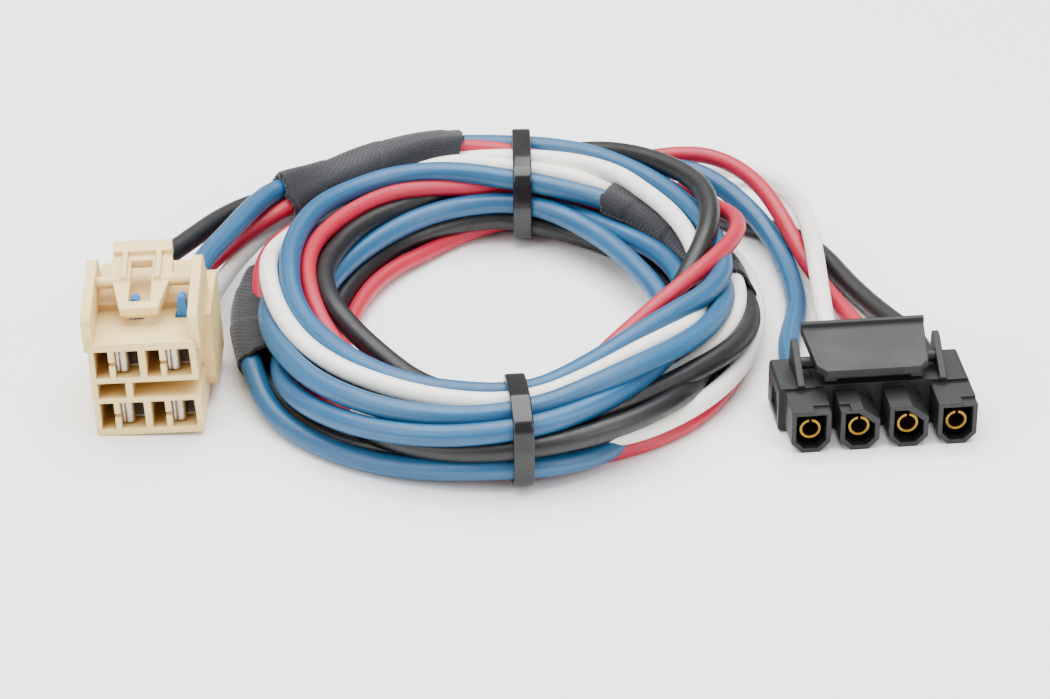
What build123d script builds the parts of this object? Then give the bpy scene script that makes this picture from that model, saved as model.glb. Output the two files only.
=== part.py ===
from build123d import *
import os
from math import cos, radians, sin, tan

os.makedirs("parts", exist_ok=True)

# A four-wire plug-in adapter harness. Millimetres, +Z up, the table is Z = 0.
# +X runs from the cream connector to the black one, and -Y is the side that both mating faces look to.

# ---- driving dimensions --------------------------------------------------------------------------

# Where the three assemblies stand. The origin is under the middle of the two connectors' box.
COIL_X, COIL_Y = -3.54, 18.2
CREAM_X, CREAM_Y, CREAM_ROLL = -45.2, -26.0, 3.0
BLACK_X, BLACK_Y, BLACK_YAW = 49.2, -29.0, 6.7

WIRE_D = {"blue": 2.9, "white": 2.5, "red": 2.3, "black": 2.9}

# Coil: an oval ring of wire turns, with its middle a little in front of the coil's centre.
COIL_HALF_X, COIL_HALF_Y, COIL_MIDDLE_Y = 29.0, 33.45, -1.15
COIL_END_R = 25.5
COIL_W, COIL_H, COIL_EDGE_R = 14.0, 10.8, 3.4
# Ties: strap width and thickness, rounding, head, and for each one its middle, the width and the
# height inside its loop, and its lean in degrees.
TIE_X, TIE_W, TIE_T = 2.6, 2.6, 1.0
TIE_OUTER_R, TIE_INNER_R = 3.2, 2.1
TIE_HEAD, TIE_HEAD_Z = (4.6, 3.2, 4.6), 0.7
TIES = {"tie_back": (32.3, 13.6, 9.6, 1.0), "tie_front": (-34.6, 12.4, 9.0, 6.5)}
# Tapes: round wrap at the entry, and the edge rounding of the two flat ones.
TAPE_EDGE_R = 1.6
TAPE_D = 7.2

# Cream connector: x across, y back from the mating face, z up.
CREAM_W, CREAM_L, CREAM_H = 13.9, 20.0, 13.4
CREAM_DECK_L, CREAM_STEP = 9.0, 1.2
CREAM_COLS = (-6.2, 0.4)
CREAM_ROWS = (0.95, 8.55)
CELL_H = 3.85
KEY_W, KEY_DEPTH, KEY_WALL = 1.8, 7.0, 0.75
CELL_W, CELL_DEPTH = 3.15, 13.0
POCKET_Z, POCKET_H = 5.55, 2.2
EAR_T, EAR_X = 1.3, 6.85
WIRE_BORE_R = 1.7
RAIL_T = 1.3
CREAM_PIVOT_Y, CREAM_PIVOT_Z = 10.0, 17.1
PIVOT_R, PIVOT_GAP = 0.8, 0.05
LEVER_X = -0.4
LEVER_FRONT, LEVER_BACK = (4.5, 16.1), (15.9, 19.3)
LEVER_T = 1.1
WINDOW = (-1.4, 1.4, 5.8, 13.0)
LOCK_Y, LOCK_T = 7.4, 1.4
PEG_XS = (-1.1, 4.9)
PEG_W, PEG_BASE_W, PEG_H = 1.2, 1.6, 2.9
CRIMP_R, CRIMP_END_CREAM = 1.2, 14.0

# Black connector: x along the row of silos, y back from their faces, z up.
PITCH = 6.35
SILO_W, SILO_H, SILO_L, SILO_Z = 5.1, 6.0, 5.4, 3.05
SILO_CHAMFER, SILO_WALL = 1.4, 0.6
INNER_CHAMFER_W, INNER_CHAMFER_H = 2.2, 1.7
BLACK_L, BLACK_DECK_H, BLACK_SIDE_H = 13.0, 6.7, 6.1
BLACK_SHOULDER = 0.8
SOCKET_BORE_R, SOCKET_WALL, SOCKET_FROM, SOCKET_L = 1.065, 0.3, 0.9, 6.6
SOCKET_SLIT = 0.4
CONTACT_CAVITY_DEPTH = 8.4
CRIMP_END_BLACK = 8.2
LATCH_X, FIN_X, FIN_T = -0.7, 9.3, 0.9
BLACK_PIVOT_Y, BLACK_PIVOT_Z = 9.0, 8.1
PLATE_FRONT, PLATE_BACK = (4.5, 9.25), (13.5, 11.1)
PLATE_W_FRONT, PLATE_W_BACK, PLATE_T, PLATE_CORNER = 14.6, 16.2, 1.15, 1.3
PLATE_LIP = 0.55

# The free stretches of the four wires, as points from the coil's centre. Each list starts at the
# cream connector's crimp and ends at the first tape wrap, or starts at the coil and ends at the
# black connector's crimp.
LEAD_IN = {
    "black": [(-47.94, -12.0, 10.68), (-47.6, -1.0, 10.6), (-42.6, 9.0, 9.8), (-38.4, 18.6, 8.6),
              (-32.9, 26.1, 7.2)],
    "blue": [(-41.35, -12.0, 11.03), (-41.2, -1.6, 11.1), (-37.4, 9.2, 10.6), (-34.6, 18.0, 10.1),
             (-31.7, 24.7, 9.5)],
    "red": [(-47.55, -12.0, 3.2), (-47.2, -1.8, 3.2), (-41.8, 8.0, 4.6), (-36.4, 16.2, 6.3),
            (-30.2, 23.0, 7.6)],
    "white": [(-40.96, -12.0, 3.54), (-40.9, -1.4, 3.4), (-38.6, 9.4, 3.1), (-35.6, 17.4, 3.8),
              (-31.1, 24.05, 5.2)],
}
LEAD_OUT = {
    "blue": [(25.9, 37.4, 6.2), (30.2, 34.2, 5.7), (34.4, 28.2, 4.8), (37.9, 22.8, 2.6),
             (39.7, 14.8, 1.5), (40.3, 4.4, 1.5), (37.35, -9.75, 3.05), (38.78, -21.97, 3.05)],
    "white": [(26.5, 43.0, 2.8), (32.1, 44.8, 2.4), (37.7, 43.5, 1.9), (41.5, 39.1, 1.7),
              (42.5, 30.6, 2.9), (42.6, 21.4, 5.6), (42.8, 12.4, 6.4), (43.0, 3.2, 5.4),
              (43.66, -9.01, 3.05), (45.09, -21.23, 3.05)],
    "red": [(26.6, 40.4, 7.2), (31.8, 37.9, 7.2), (36.1, 31.6, 6.9), (39.0, 24.0, 5.6),
            (41.7, 16.2, 2.9), (45.2, 6.6, 2.0), (49.96, -8.27, 3.05), (51.40, -20.49, 3.05)],
    "black": [(26.0, 35.0, 2.0), (30.6, 31.2, 1.6), (35.0, 28.8, 1.5), (40.6, 26.0, 1.5),
              (44.6, 20.2, 1.5), (47.6, 11.6, 1.5), (51.0, 3.6, 1.9), (56.27, -7.53, 3.05),
              (57.70, -19.75, 3.05)],
}
ENTRY_TAPE = [(-31.5, 24.5, 7.4), (-23.5, 31.6, 8.2), (-7.0, 37.2, 8.8)]
TAIL_START, TAIL_END, TAIL_W, TAIL_TOP = (6.0, 37.2), (26.6, 38.6), 11.4, 8.6
# The two other wraps, as arcs of the ring: from angle, to angle, strip inside and outside, height.
LEFT_TAPE = (166.0, 201.0, 1.0, COIL_W / 2, 1.2, 8.0)
RIGHT_TAPE = (4.0, 50.0, -COIL_W / 2, -1.4, 3.6, COIL_H)


# ---- helpers -------------------------------------------------------------------------------------

written = {}


def save(node, shape):
    """Write one sub-part and keep it for the report below."""
    export_step(shape, f"parts/{node}.step")
    written[node] = shape


def block(x0, x1, y0, y1, z0, z1):
    """A box from its lowest to its highest corner."""
    size = (x1 - x0, y1 - y0, z1 - z0)
    return Pos((x0 + x1) / 2, (y0 + y1) / 2, (z0 + z1) / 2) * Box(*size)


def side_plate(points, x0, x1):
    """A plate from x0 to x1 whose outline is given as (y, z) points."""
    face = make_face(Polyline(*[(0, y, z) for y, z in points], close=True))
    return Pos(x0, 0, 0) * extrude(face, x1 - x0, dir=(1, 0, 0))


def front_prism(points, y0, y1):
    """A prism from y0 back to y1 whose outline is given as (x, z) points."""
    face = make_face(Polyline(*[(x, 0, z) for x, z in points], close=True))
    return Pos(0, y0, 0) * extrude(face, y1 - y0, dir=(0, 1, 0))


def rod_x(x0, x1, y, z, r):
    """A round rod along X."""
    return Pos((x0 + x1) / 2, y, z) * Rot(0, 90, 0) * Cylinder(r, x1 - x0)


def rod_y(x, y0, y1, z, r):
    """A round rod along Y."""
    return Pos(x, (y0 + y1) / 2, z) * Rot(90, 0, 0) * Cylinder(r, y1 - y0)


def soften(solid, edges, r):
    """Round the given edges, or leave the solid as it is where the round doesn't fit."""
    try:
        done = fillet(edges, r)
    except ValueError:
        return solid
    return done if done.is_valid else solid


coil_at = Pos(COIL_X, COIL_Y, 0)


def from_coil(points):
    """Points given from the coil's centre, in the part's own frame."""
    return [Vector(x + COIL_X, y + COIL_Y, z) for x, y, z in points]


def wire_path(name, points):
    """Straight runs joined by the largest tangent arcs that the runs allow."""
    radii = []
    for before, here, after in zip(points, points[1:], points[2:]):
        turn = (here - before).get_angle(after - here)
        shorter = min((here - before).length, (after - here).length)
        radii.append(0.45 * shorter / tan(radians(turn / 2)))
    print(name, "radii", [round(r, 1) for r in radii])
    return FilletPolyline(*points, radius=radii)


def tube(name, points, diameter):
    """A round tube along the path, with its volume compared with section times length."""
    path = wire_path(name, points)
    solid = sweep((path ^ 0) * Circle(diameter / 2), path=path)
    expected = 3.14159265 * diameter**2 / 4 * path.length
    print(name, "length", round(path.length, 1), "volume / expected", round(solid.volume / expected, 4))
    return solid


# ---- cream connector -----------------------------------------------------------------------------


def cream_ear(side):
    """One ear: a side plate above the deck, with the blind hole that the latch's bar turns in."""
    top = CREAM_H
    outline = [(0.6, top - 1.3), (0.6, top + 3.2), (1.2, top + 3.7), (12.4, top + 5.7),
               (13.6, top + 5.2), (15.2, top + 1.0), (15.2, top - 1.3)]
    inner = side * (EAR_X - EAR_T / 2)
    ear = side_plate(outline, min(inner, inner + side * EAR_T), max(inner, inner + side * EAR_T))
    hole_end = inner + side * 0.9
    hole = rod_x(min(inner, hole_end) - 0.01, max(inner, hole_end), CREAM_PIVOT_Y, CREAM_PIVOT_Z,
                 PIVOT_R + PIVOT_GAP)
    return ear - hole


def cream_rail(side):
    """The proud rail low on each side of the housing."""
    x0, x1 = sorted((side * (CREAM_W / 2 - 0.1), side * (CREAM_W / 2 + RAIL_T)))
    outline = [(8.0, 3.4), (9.6, 1.5), (CREAM_L, 1.5), (CREAM_L, CREAM_H - 0.6), (8.0, CREAM_H - 0.6)]
    return side_plate(outline, x0, x1)


def cream_cell(x0, z0):
    """What one cavity takes out of the housing: key slot, notched divider, terminal room, wire bore."""
    key = block(x0, x0 + KEY_W, -1, KEY_DEPTH, z0, z0 + CELL_H)
    wall = x0 + KEY_W + KEY_WALL
    room = block(wall, wall + CELL_W, -1, CELL_DEPTH, z0, z0 + CELL_H)
    notch = block(x0 + KEY_W - 0.1, wall + 0.1, -1, 1.1, z0 + 1.7, z0 + 2.25)
    middle = (wall + CELL_W / 2, z0 + CELL_H / 2)
    bore = rod_y(middle[0], CELL_DEPTH - 1, CREAM_L + 1, middle[1], WIRE_BORE_R)
    return key + room + notch + bore


def cream_housing():
    """The moulded housing: body, rear step, ears, rails, four cavities, pockets and lock channel."""
    body = block(-CREAM_W / 2, CREAM_W / 2, 0, CREAM_L, 0, CREAM_H)
    body = soften(body, body.edges().filter_by(Axis.Y), 0.55)
    step = block(-CREAM_W / 2 + 0.2, CREAM_W / 2 - 0.2, CREAM_DECK_L, CREAM_L, CREAM_H - 1,
                 CREAM_H + CREAM_STEP)
    step = soften(step, step.edges().group_by(Axis.Z)[-1], 0.35)
    housing = body + step + cream_ear(-1) + cream_ear(1) + cream_rail(-1) + cream_rail(1)
    for x0 in CREAM_COLS:
        for z0 in CREAM_ROWS:
            housing -= cream_cell(x0, z0)
    housing -= block(CREAM_COLS[0], CREAM_COLS[0] + 3.6, -1, 7.5, POCKET_Z, POCKET_Z + POCKET_H)
    housing -= block(-1.7, CREAM_W, -1, 7.6, POCKET_Z, POCKET_Z + POCKET_H)
    # Channel for the lock's bar, and the two slots in the deck that its pegs stand in.
    gap = 0.2
    housing -= block(-3.6, 6.0, LOCK_Y - LOCK_T / 2 - gap, LOCK_Y + LOCK_T / 2 + gap, 9.3, 12.5)
    for x in PEG_XS:
        half = PEG_BASE_W / 2 + gap
        housing -= block(x - half, x + half, LOCK_Y - LOCK_T / 2 - gap, LOCK_Y + LOCK_T / 2 + gap,
                         12.0, CREAM_H + 1)
    return housing


def cream_latch():
    """The latch lever on its round bar: hook end in front, window, thumb end behind."""
    (y0, z0), (y1, z1) = LEVER_FRONT, LEVER_BACK
    slope = (z1 - z0) / (y1 - y0)
    side = [(y0, z0), (y1, z1), (y1, z1 - LEVER_T), (y0, z0 - LEVER_T)]
    slab = side_plate(side, LEVER_X - 4.0, LEVER_X + 4.0)
    plan = [(-2.35, 4.0), (2.35, 4.0), (4.0, 10.6), (4.0, 13.2), (3.8, 13.3), (3.8, 17.0),
            (-3.8, 17.0), (-3.8, 13.3), (-4.0, 13.2), (-4.0, 10.6)]
    face = make_face(Polyline(*[(x + LEVER_X, y, 0) for x, y in plan], close=True))
    lever = slab & extrude(face, 30)
    wx0, wx1, wy0, wy1 = WINDOW
    lever -= block(LEVER_X + wx0, LEVER_X + wx1, wy0, wy1, 0, 30)
    # Two ribs beside the window, and the raised thumb rest with its cross step.
    for x in (-2.2, 2.2):
        rib = [(9.4, z0 + slope * 4.9), (y1, z1), (y1, z1 + 0.55), (9.4, z0 + slope * 4.9 + 0.55)]
        lever += side_plate(rib, LEVER_X + x - 0.35, LEVER_X + x + 0.35)
    z_rest = z0 + slope * 9.5
    rest = [(14.0, z_rest - 0.1), (y1, z1 - 0.1), (y1, z1 + 0.55), (14.0, z_rest + 0.55)]
    lever += side_plate(rest, LEVER_X - 3.8, LEVER_X + 3.8)
    hook = [(y0, z0 - LEVER_T + 0.1), (y0 + 1.2, z0 - LEVER_T + 0.3), (y0 + 0.5, z0 - LEVER_T - 0.6)]
    lever += side_plate(hook, LEVER_X - 2.2, LEVER_X + 2.2)
    reach = EAR_X - EAR_T / 2 + 0.8
    bar = rod_x(-reach, reach, CREAM_PIVOT_Y, CREAM_PIVOT_Z, PIVOT_R)
    bar -= block(LEVER_X + wx0, LEVER_X + wx1, wy0, wy1, 0, 30)
    return lever + bar


def cream_lock():
    """The terminal lock: a bar behind the upper terminals' boxes, and two pegs through the deck."""
    half_t = LOCK_T / 2
    lock = block(-3.4, 5.8, LOCK_Y - half_t, LOCK_Y + half_t, 11.1, 12.3)
    for x in PEG_XS:
        base = PEG_BASE_W / 2
        top = CREAM_H + PEG_H - PEG_W / 2
        outline = [(x - base, 12.2), (x + base, 12.2), (x + base, CREAM_H + 0.5),
                   (x + PEG_W / 2, CREAM_H + 1.3), (x + PEG_W / 2, top), (x - PEG_W / 2, top),
                   (x - PEG_W / 2, CREAM_H + 1.3), (x - base, CREAM_H + 0.5)]
        lock += front_prism(outline, LOCK_Y - half_t, LOCK_Y + half_t)
        lock += rod_y(x, LOCK_Y - half_t, LOCK_Y + half_t, top, PEG_W / 2)
    return lock


def tin_terminal(x0, z0):
    """A box terminal with a rolled leaf in front, a neck, and a crimp closed on the wire."""
    left = x0 + KEY_W + KEY_WALL
    xc, zc = left + CELL_W / 2, z0 + CELL_H / 2
    half_w, half_h, wall = CELL_W / 2 - 0.12, 1.7, 0.3
    shell = block(xc - half_w, xc + half_w, 2.6, 6.2, zc - half_h, zc + half_h)
    shell += block(xc - half_w, xc - half_w + wall, 1.2, 3.0, zc - half_h, zc + half_h)
    shell -= block(xc - half_w + wall, xc + half_w - wall, 0, 5.8, zc - half_h + wall, zc + half_h - wall)
    leaf = Pos(xc - 0.62, 1.75, zc) * (Cylinder(0.72, 2 * half_h - 0.2) - Cylinder(0.48, 2 * half_h + 1))
    neck = block(xc - 0.8, xc + 0.8, 5.9, 10.2, zc - half_h, zc - half_h + 0.7)
    crimp = rod_y(xc, 9.6, CRIMP_END_CREAM, zc, CRIMP_R)
    return shell + leaf + neck + crimp


# ---- black connector -----------------------------------------------------------------------------


def silo_outline(x, inner, wall=0.0):
    """A silo's outline, or its cavity's: chamfered below, and above as well on the inner silos."""
    w, h = SILO_W / 2 - wall, SILO_H / 2 - wall
    c = SILO_CHAMFER - 0.59 * wall
    low, high = SILO_Z - h, SILO_Z + h
    outline = [(x - w, high), (x - w, low + c), (x - w + c, low), (x + w - c, low), (x + w, low + c)]
    if inner:
        return outline + [(x + w, high - INNER_CHAMFER_H), (x + w - INNER_CHAMFER_W, high)]
    return outline + [(x + w, high)]


def black_housing():
    """The moulded housing: block, four silos with their cavities, guard fins and side pockets."""
    xs = [(k - 1.5) * PITCH for k in range(4)]
    half = xs[-1] + SILO_W / 2
    body = block(-half - BLACK_SHOULDER, half, SILO_L, BLACK_L, 0.25, BLACK_SIDE_H + 0.4)
    body = soften(body, body.edges().filter_by(Axis.Y), 0.5)
    housing = body + block(-8.2, 8.2, SILO_L, BLACK_L - 0.3, 3, BLACK_DECK_H)
    for k, x in enumerate(xs):
        inner = k in (1, 2)
        housing += front_prism(silo_outline(x, inner), 0, SILO_L + 0.6)
    for k, x in enumerate(xs):
        housing -= front_prism(silo_outline(x, k in (1, 2), SILO_WALL), -1, CONTACT_CAVITY_DEPTH)
        housing -= rod_y(x, CONTACT_CAVITY_DEPTH - 1, BLACK_L + 1, SILO_Z, WIRE_BORE_R)
    # The step in each outer silo's top edge.
    housing -= block(xs[0] + 0.4, xs[0] + SILO_W, -1, 1.6, SILO_Z + SILO_H / 2 - 0.35, 9)
    housing -= block(xs[-1] + 0.6, xs[-1] + SILO_W, -1, 1.6, SILO_Z + SILO_H / 2 - 0.35, 9)
    # A shallow pocket in each end wall.
    housing -= block(-half - BLACK_SHOULDER - 1, -half - BLACK_SHOULDER + 0.5, 6.4, 10.6, 1.6, 4.8)
    housing -= block(half - 0.5, half + 1, 6.4, 10.6, 1.6, 4.8)
    for side in (-1, 1):
        outline = [(5.2, 5.9), (5.2, 6.9), (10.4, 10.2), (11.6, 10.3), (12.0, 5.9)]
        middle = LATCH_X + side * FIN_X
        fin = side_plate(outline, middle - FIN_T / 2, middle + FIN_T / 2)
        inner = middle - side * FIN_T / 2
        hole_end = inner + side * 0.6
        hole = rod_x(min(inner, hole_end), max(inner, hole_end), BLACK_PIVOT_Y, BLACK_PIVOT_Z,
                     PIVOT_R + PIVOT_GAP)
        housing += fin - hole
    return housing


def black_latch():
    """The latch plate on its round bar, with a raised rear edge, three webs and two hooks."""
    (y0, z0), (y1, z1) = PLATE_FRONT, PLATE_BACK
    side = [(y0, z0), (y1, z1), (y1, z1 - PLATE_T), (y0, z0 - PLATE_T)]
    slab = side_plate(side, -PLATE_W_BACK / 2, PLATE_W_BACK / 2)
    wf, wb, c = PLATE_W_FRONT / 2, PLATE_W_BACK / 2, PLATE_CORNER
    plan = [(-wf + c, y0 - 0.1), (wf - c, y0 - 0.1), (wf, y0 + c),
            (wb, y1 + 0.1), (-wb, y1 + 0.1), (-wf, y0 + c)]
    plate = slab & extrude(make_face(Polyline(*[(x, y, 0) for x, y in plan], close=True)), 30)
    lip = [(y1 - 0.7, z1 - 0.3), (y1 - 0.55, z1 + PLATE_LIP - 0.1), (y1, z1 + PLATE_LIP), (y1, z1 - 0.3)]
    plate += side_plate(lip, -wb, wb)
    reach = FIN_X - FIN_T / 2 + 0.5
    plate += rod_x(-reach, reach, BLACK_PIVOT_Y, BLACK_PIVOT_Z, PIVOT_R)
    for x in (-6.0, 0.0, 6.0):
        web = [(BLACK_PIVOT_Y - 0.75, BLACK_PIVOT_Z), (BLACK_PIVOT_Y + 0.75, BLACK_PIVOT_Z),
               (BLACK_PIVOT_Y + 1.6, z1 - 1.6), (BLACK_PIVOT_Y - 1.6, z0 - 0.2)]
        plate += side_plate(web, x - 0.6, x + 0.6)
    for x in (-5.6, 5.6):
        hook = [(y0 + 0.1, z0 - PLATE_T + 0.2), (y0 + 1.4, z0 - PLATE_T + 0.3), (y0 + 1.2, z0 - PLATE_T - 0.8),
                (y0 + 0.1, z0 - PLATE_T - 0.4)]
        plate += side_plate(hook, x - 0.8, x + 0.8)
    return Pos(LATCH_X, 0, 0) * plate


def brass_socket(x):
    """A split tube contact for a round pin, with a crimp closed on the wire behind it."""
    r = SOCKET_BORE_R
    end = SOCKET_FROM + SOCKET_L
    sleeve = rod_y(x, SOCKET_FROM, end, SILO_Z, r + SOCKET_WALL)
    sleeve -= rod_y(x, SOCKET_FROM - 1, end - 0.5, SILO_Z, r)
    sleeve -= block(x - SOCKET_SLIT / 2, x + SOCKET_SLIT / 2, 0, end - 0.6, SILO_Z + r - 0.4, SILO_Z + 3)
    crimp = rod_y(x, end - 0.1, CRIMP_END_BLACK, SILO_Z, CRIMP_R)
    return sleeve + crimp


# ---- coil, tapes and ties ------------------------------------------------------------------------


def oval(offset):
    """The ring's centre line moved outwards by an offset: an oval of four tangent arcs."""
    drop = COIL_HALF_Y - COIL_END_R
    shift = (drop**2 - (COIL_HALF_X - COIL_END_R) ** 2) / (2 * (COIL_HALF_X - COIL_END_R))
    side_r = COIL_HALF_X + shift + offset
    end_r = COIL_END_R + offset
    join_x, join_y = (end_r * shift / (side_r - end_r), end_r * drop / (side_r - end_r))
    high, wide, tall = drop + join_y, COIL_HALF_X + offset, COIL_HALF_Y + offset
    corners = [(join_x, high), (-join_x, high), (-join_x, -high), (join_x, -high)]
    tops = [(0, tall), (-wide, 0), (0, -tall), (wide, 0)]
    arcs = []
    for k in range(4):
        arcs.append(ThreePointArc(corners[k], tops[k], corners[(k + 1) % 4]))
    return make_face(arcs)


def ring(inside, outside, z0, z1, edge_r):
    """A closed ring between two offsets of the oval, with its long edges rounded."""
    solid = extrude(oval(outside) - oval(inside), z1 - z0)
    levels = solid.edges().group_by(Axis.Z)
    solid = fillet(levels[0] + levels[-1], edge_r)
    return Pos(0, COIL_MIDDLE_Y, z0) * solid


def wedge(angle_a, angle_b):
    """A tall wedge from the coil's centre between two directions, in degrees from +X."""
    reach, middle = 90.0, (angle_a + angle_b) / 2
    angles = [radians(a) for a in (angle_a, middle, angle_b)]
    points = [(0, 0)] + [(reach * cos(a), reach * sin(a)) for a in angles]
    return Pos(0, 0, -5) * extrude(make_face(Polyline(*points, close=True)), 40)


def wrap(angle_a, angle_b, inside, outside, z0, z1):
    """A tape wrap on one side of the ring: the strip of the ring between two directions."""
    return (ring(inside, outside, z0, z1, TAPE_EDGE_R) & wedge(angle_a, angle_b)).solid()


def tie(y_middle, inner_w, inner_h, lean):
    """A moulded cable tie: a rounded loop pulled into the turns, and its head behind it."""
    half, outer_h = inner_w / 2, inner_h + 2 * TIE_T
    outer = Pos(0, 0, outer_h / 2) * Box(TIE_W, 2 * (half + TIE_T), outer_h)
    outer = fillet(outer.edges().filter_by(Axis.X), TIE_OUTER_R)
    inner = Pos(0, 0, outer_h / 2) * Box(TIE_W + 2, 2 * half, inner_h)
    inner = fillet(inner.edges().filter_by(Axis.X), TIE_INNER_R)
    w, d, h = TIE_HEAD
    y_head, z_head = half + TIE_T / 2 + d / 2, TIE_HEAD_Z + h / 2
    head = Pos(0, y_head, z_head) * Box(w, d + TIE_T, h)
    head = fillet(head.edges().filter_by(Axis.X), 0.6)
    head -= Pos(0, y_head + 0.4, z_head) * Box(TIE_W, 1.0, h + 1)
    solid = (outer + (head - inner)) - inner
    return Pos(TIE_X, y_middle, 0) * Rot(0, 0, lean) * solid


# ---- build ---------------------------------------------------------------------------------------

cream_raw = cream_housing()
cream_at = Pos(CREAM_X + COIL_X, CREAM_Y + COIL_Y, 0) * Rot(0, -CREAM_ROLL, 0)
lift = -(cream_at * cream_raw).bounding_box().min.Z
cream_at = Pos(CREAM_X + COIL_X, CREAM_Y + COIL_Y, lift) * Rot(0, -CREAM_ROLL, 0)
print("cream lift", round(lift, 4))
save("cream_housing", cream_at * cream_raw)
save("cream_latch", cream_at * cream_latch())
save("cream_lock", cream_at * cream_lock())
number = 0
for z0 in CREAM_ROWS:
    for x0 in CREAM_COLS:
        number += 1
        save(f"tin_terminal_{number}", cream_at * tin_terminal(x0, z0))

black_at = Pos(BLACK_X + COIL_X, BLACK_Y + COIL_Y, 0) * Rot(0, 0, BLACK_YAW)
save("black_housing", black_at * black_housing())
save("black_latch", black_at * black_latch())
for k in range(4):
    save(f"brass_socket_{k + 1}", black_at * brass_socket((k - 1.5) * PITCH))

# The ring of turns, with the tail where the four wires leave it side by side.
turns = coil_at * ring(-COIL_W / 2, COIL_W / 2, 0, COIL_H, COIL_EDGE_R)
tail_dir = Vector(*TAIL_END) - Vector(*TAIL_START)
tail_angle = Vector(1, 0, 0).get_signed_angle(tail_dir, Vector(0, 0, 1))
tail = Pos(tail_dir.length / 2, 0, TAIL_TOP / 2 + 0.15) * Box(tail_dir.length, TAIL_W, TAIL_TOP - 0.3)
tail = fillet(tail.edges().filter_by(Axis.X), 2.6)
tail = coil_at * Pos(*TAIL_START, 0) * Rot(0, 0, tail_angle) * tail
ties = {name: coil_at * tie(*shape) for name, shape in TIES.items()}
tape_left = coil_at * wrap(*LEFT_TAPE)
tape_right = coil_at * wrap(*RIGHT_TAPE)
tape_entry = tube("tape_entry", from_coil(ENTRY_TAPE), TAPE_D)

turns = turns + tail
for piece in (tape_left, tape_right, tape_entry, *ties.values()):
    turns -= piece

leads = {}
for colour, points in LEAD_IN.items():
    leads[f"lead_in_{colour}"] = tube(f"lead_in_{colour}", from_coil(points), WIRE_D[colour]) - tape_entry
for colour, points in LEAD_OUT.items():
    leads[f"lead_out_{colour}"] = tube(f"lead_out_{colour}", from_coil(points), WIRE_D[colour]) - turns
for lead in leads.values():
    turns -= lead

for node, shape in {**leads, **ties, "tape_entry": tape_entry, "tape_left": tape_left,
                    "tape_right": tape_right, "wire_coil": turns}.items():
    save(node, shape)

# ---- report --------------------------------------------------------------------------------------


def place(at, x, y, z):
    """A point of one connector's own frame, in the part's frame."""
    return tuple(round(v, 3) for v in (at * Pos(x, y, z)).position)


cords = [n for n in written if n.startswith(("lead_", "tape_", "tie_", "wire_"))]
hard = Compound(children=[Compound(s.solids()) for n, s in written.items() if n not in cords])
box = hard.bounding_box()
print("connectors box", [round(v, 3) for v in (*box.min, *box.max)])
print("middle", round((box.min.X + box.max.X) / 2, 3), round((box.min.Y + box.max.Y) / 2, 3))
print("cream pivot", place(cream_at, 0, CREAM_PIVOT_Y, CREAM_PIVOT_Z))
print("black pivot", place(black_at, 0, BLACK_PIVOT_Y, BLACK_PIVOT_Z))
for k in range(4):
    print("socket mouth", k + 1, place(black_at, (k - 1.5) * PITCH, SOCKET_FROM, SILO_Z))
print("cream x axis", round(cos(radians(CREAM_ROLL)), 6), round(sin(radians(CREAM_ROLL)), 6))
print("black x axis", round(cos(radians(BLACK_YAW)), 6), round(sin(radians(BLACK_YAW)), 6))
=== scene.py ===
"""Brake controller wiring adapter harness: four wires tied in a coil between two connectors.

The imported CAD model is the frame. Four wires leave the cream vehicle connector, run under a
cloth tape wrap into four turns of coil, and leave the coil for the black controller connector.
Each wire is one NURBS cord. The wraps and cable ties are fitted to points read from the cords.
"""
import logging
import math
from dataclasses import dataclass, field
from enum import Enum

import bpy
import numpy as np
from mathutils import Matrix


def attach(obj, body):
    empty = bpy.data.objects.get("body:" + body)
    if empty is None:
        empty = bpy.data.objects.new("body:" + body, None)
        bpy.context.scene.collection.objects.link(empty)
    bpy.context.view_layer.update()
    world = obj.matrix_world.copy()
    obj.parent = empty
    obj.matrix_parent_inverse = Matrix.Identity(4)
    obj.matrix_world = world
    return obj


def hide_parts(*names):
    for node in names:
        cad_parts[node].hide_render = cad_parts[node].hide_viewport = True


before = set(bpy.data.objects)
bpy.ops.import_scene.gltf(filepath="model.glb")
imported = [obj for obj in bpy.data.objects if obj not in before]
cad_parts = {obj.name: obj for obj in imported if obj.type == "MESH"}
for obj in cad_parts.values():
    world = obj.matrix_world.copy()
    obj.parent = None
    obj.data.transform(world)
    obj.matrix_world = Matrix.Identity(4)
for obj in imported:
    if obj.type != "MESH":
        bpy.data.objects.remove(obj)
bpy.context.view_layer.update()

logging.basicConfig(level=logging.INFO, format="%(name)s: %(message)s")
LOG = logging.getLogger("harness")

MM = 0.001
BODY = "harness"
COIL_CENTRE = np.array([-3.54, 18.2, 0.0])
"""Middle of the coil on the table, in mm, in the frame the CAD model uses."""


class Wire(Enum):
    """The four wires, each with its outside diameter in mm."""

    BLUE = ("blue", 2.9)
    WHITE = ("white", 2.5)
    RED = ("red", 2.3)
    BLACK = ("black", 2.9)

    @property
    def label(self) -> str:
        """Plain colour name, as used in the CAD node names."""
        return self.value[0]

    @property
    def diameter(self) -> float:
        """Outside diameter of the jacket in mm."""
        return self.value[1]


WIRES = list(Wire)

# --------------------------------------------------------------------------- routes, in mm

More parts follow.
